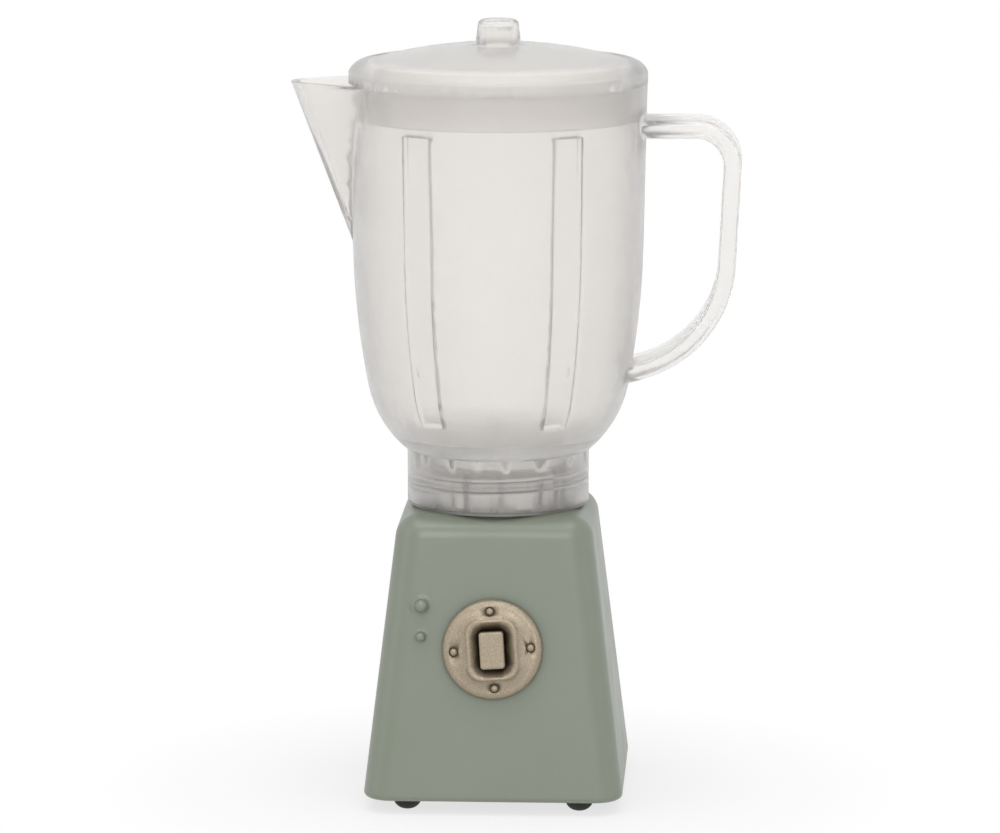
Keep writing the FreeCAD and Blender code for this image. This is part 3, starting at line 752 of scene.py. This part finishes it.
@dataclass
class Dial:
    """The bronze dial, its rivets, its button and what holds them."""

    crease: float = 28.0
    centre: Vector = Vector((0.0, -12.8513, 19.1)) * MM
    turn: float = 3.8
    lean: float = 90.0 - 6.8
    rivet_circle: float = 4.4 * MM
    spring_top: float = 0.62 * MM
    spring_seat: float = -2.0 * MM
    travel: float = 0.5 * MM

    def build(self, finishes: Finishes) -> list[bpy.types.Object]:
        """Make the pieces.

        Args:
            finishes: The materials.

        Returns:
            The pieces.
        """
        made = [smooth_copy("dial_plate", self.crease, "dial", finishes.bronze),
                Ring("dial_rivets", 4, self.rivet_circle, self.turn, self.centre, self.lean).build(
                    finishes.bronze, "dial"),
                smooth_copy("switch_button", self.crease, "button", finishes.bronze)]
        for node, body in (("dial_spring_washer", "dial"), ("dial_push_nut", "dial"),
                           ("button_push_nut", "button")):
            made.append(smooth_copy(node, self.crease, body, finishes.spring_steel))
        made.append(self._spring(finishes))
        return made

    def _spring(self, finishes: Finishes) -> bpy.types.Object:
        """The button's spring, on a mesh of its own.

        Args:
            finishes: The materials.

        Returns:
            The spring.
        """
        spring = smooth_copy("button_spring", self.crease, "button", finishes.spring_steel)
        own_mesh(spring)
        return spring


@dataclass
class Jug:
    """The clear jug, its lid and the threaded spigot below."""

    crease: float = 30.0

    def build(self, finishes: Finishes) -> list[bpy.types.Object]:
        """Make the pieces.

        Args:
            finishes: The materials.

        Returns:
            The pieces.
        """
        return [smooth_copy("jug", self.crease, "jug", finishes.clear),
                smooth_copy("lid", self.crease, "lid", finishes.clear),
                smooth_copy("spigot", self.crease, "base", finishes.clear),
                smooth_copy("spigot_push_nut", self.crease, "base", finishes.spring_steel),
                # the washer's grey is painted shade for the shadow line under the skirt
                smooth_copy("skirt_washer", self.crease, "skirt_seal", finishes.washer_with_painted_shade)]


@dataclass(frozen=True)
class Lamp:
    """A soft rectangular lamp, in metres and watts."""

    name: str
    place: tuple[float, float, float]
    size: tuple[float, float]
    power: float


@dataclass
class Studio:
    """Floor, backdrop, lamps and the camera at the photograph's viewing angle."""

    camera_distance: float = 637 * MM
    camera_elevation: float = 9.7
    camera_yaw: float = 2.9
    aim_height: float = 43.87 * MM
    aim_right: float = 0.2 * MM
    pixels_per_radian: float = 5500.0
    frame_width: int = 1000
    sensor: float = 36.0
    nearest: float = 0.01
    farthest: float = 20.0
    floor_half: float = 1.2
    floor_dark: Colour = (0.86, 0.86, 0.86)
    floor_pale: Colour = (0.9, 0.9, 0.9)
    floor_mottle: float = 60.0
    floor_roughness: float = 0.7
    floor_glow: float = 0.72
    fill: float = 0.34
    shadow_reach: float = 48 * MM
    shadow_core: float = 0.4
    lamps: tuple[Lamp, ...] = (
        Lamp("overhead", place=(0.0, -0.12, 0.75), size=(0.8, 0.6), power=2.9),
        Lamp("front", place=(0.1, -0.9, 0.45), size=(0.8, 0.5), power=2.8),
        Lamp("left", place=(-0.7, -0.25, 0.3), size=(0.3, 0.6), power=0.5),
        Lamp("right", place=(0.75, -0.15, 0.25), size=(0.3, 0.6), power=0.2),
    )

    def build(self) -> None:
        """Set up everything around the object."""
        self._camera()
        self._world()
        self._floor()
        self._lamps()
        bpy.context.scene.view_settings.view_transform = "Standard"

    def _camera(self) -> None:
        """Place the camera."""
        data = bpy.data.cameras.new("camera")
        data.sensor_width = self.sensor
        data.lens = self.pixels_per_radian / self.frame_width * self.sensor
        data.clip_start = self.nearest
        data.clip_end = self.farthest
        data.dof.use_dof = False
        camera = bpy.data.objects.new("camera", data)
        bpy.context.scene.collection.objects.link(camera)
        yaw, rise = math.radians(self.camera_yaw), math.radians(self.camera_elevation)
        aim = Vector((self.aim_right * math.cos(yaw), self.aim_right * math.sin(yaw), self.aim_height))
        away = Vector((math.sin(yaw) * math.cos(rise), -math.cos(yaw) * math.cos(rise), math.sin(rise)))
        camera.location = aim + away * self.camera_distance
        camera.rotation_euler = away.to_track_quat("Z", "Y").to_euler()
        bpy.context.scene.camera = camera

    def _seen_white(self, tree: NodeTree) -> bpy.types.NodeSocket:
        """Which rays see the white background.

        Args:
            tree: The helper of the material or world.

        Returns:
            1 for camera, glossy and transmission rays, else 0.
        """
        rays = tree.add("ShaderNodeLightPath")
        first = tree.maths("MAXIMUM", rays.outputs["Is Camera Ray"], rays.outputs["Is Glossy Ray"])
        return tree.maths("MAXIMUM", first, rays.outputs["Is Transmission Ray"])

    def _world(self) -> None:
        """White behind the object, with softer light on it."""
        world = bpy.data.worlds.new("studio")
        world.use_nodes = True
        bpy.context.scene.world = world
        tree = NodeTree(world.node_tree)
        background = world.node_tree.nodes["Background"]
        background.inputs["Color"].default_value = (1, 1, 1, 1)
        tree.feed(background, "Strength", tree.stretch(self._seen_white(tree), 0, 1, self.fill, 1.0))

    def _floor(self) -> None:
        """A pale floor that shows white where no shadow falls."""
        mesh = bpy.data.meshes.new("floor")
        half = self.floor_half
        mesh.from_pydata([(-half, -half, 0), (half, -half, 0), (half, half, 0), (-half, half, 0)], [],
                         [(0, 1, 2, 3)])
        floor = link("floor", mesh)
        material, tree, shader = new_material("pale floor")
        grain = tree.add("ShaderNodeTexNoise", Scale=self.floor_mottle)
        tree.feed(shader, "Base Color", tree.blend(grain.outputs["Fac"], self.floor_dark, self.floor_pale))
        shader.inputs["Roughness"].default_value = self.floor_roughness
        place = tree.add("ShaderNodeTexCoord").outputs["Object"]
        away = tree.add("ShaderNodeVectorMath", {"operation": "LENGTH"}, Vector=place).outputs["Value"]
        core = self.shadow_reach * self.shadow_core
        whole = tree.stretch(away, core, self.shadow_reach, self.floor_glow, 1.0)
        glow = tree.add("ShaderNodeEmission", Color=(1, 1, 1, 1), Strength=1.0)
        both = tree.add("ShaderNodeMixShader", Fac=tree.maths("MULTIPLY", whole, self._seen_white(tree)))
        tree.feed(both, 1, shader.outputs["BSDF"])
        tree.feed(both, 2, glow.outputs["Emission"])
        tree.feed(material.node_tree.nodes["Material Output"], "Surface", both.outputs["Shader"])
        floor.data.materials.append(material)

    def _lamps(self) -> None:
        """Two broad lamps, overhead and in front, and two side fills, all aimed at the object."""
        for lamp in self.lamps:
            data = bpy.data.lights.new(lamp.name, "AREA")
            data.shape = "RECTANGLE"
            data.size, data.size_y = lamp.size
            data.energy = lamp.power
            stood = bpy.data.objects.new(lamp.name, data)
            stood.location = lamp.place
            away = Vector(lamp.place) - Vector((0, 0, self.aim_height))
            stood.rotation_euler = away.to_track_quat("Z", "Y").to_euler()
            bpy.context.scene.collection.objects.link(stood)


def main() -> None:
    """Build the studio and every sub-assembly."""
    logging.basicConfig(level=logging.INFO, format="%(message)s")
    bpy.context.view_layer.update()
    Studio().build()
    finishes = Finishes()
    for assembly in (Housing(), Dial(), Jug()):
        for piece in assembly.build(finishes):
            log.info("%s: %s, %d faces", type(assembly).__name__, piece.name, len(piece.data.polygons))


if __name__ == "__main__":
    main()
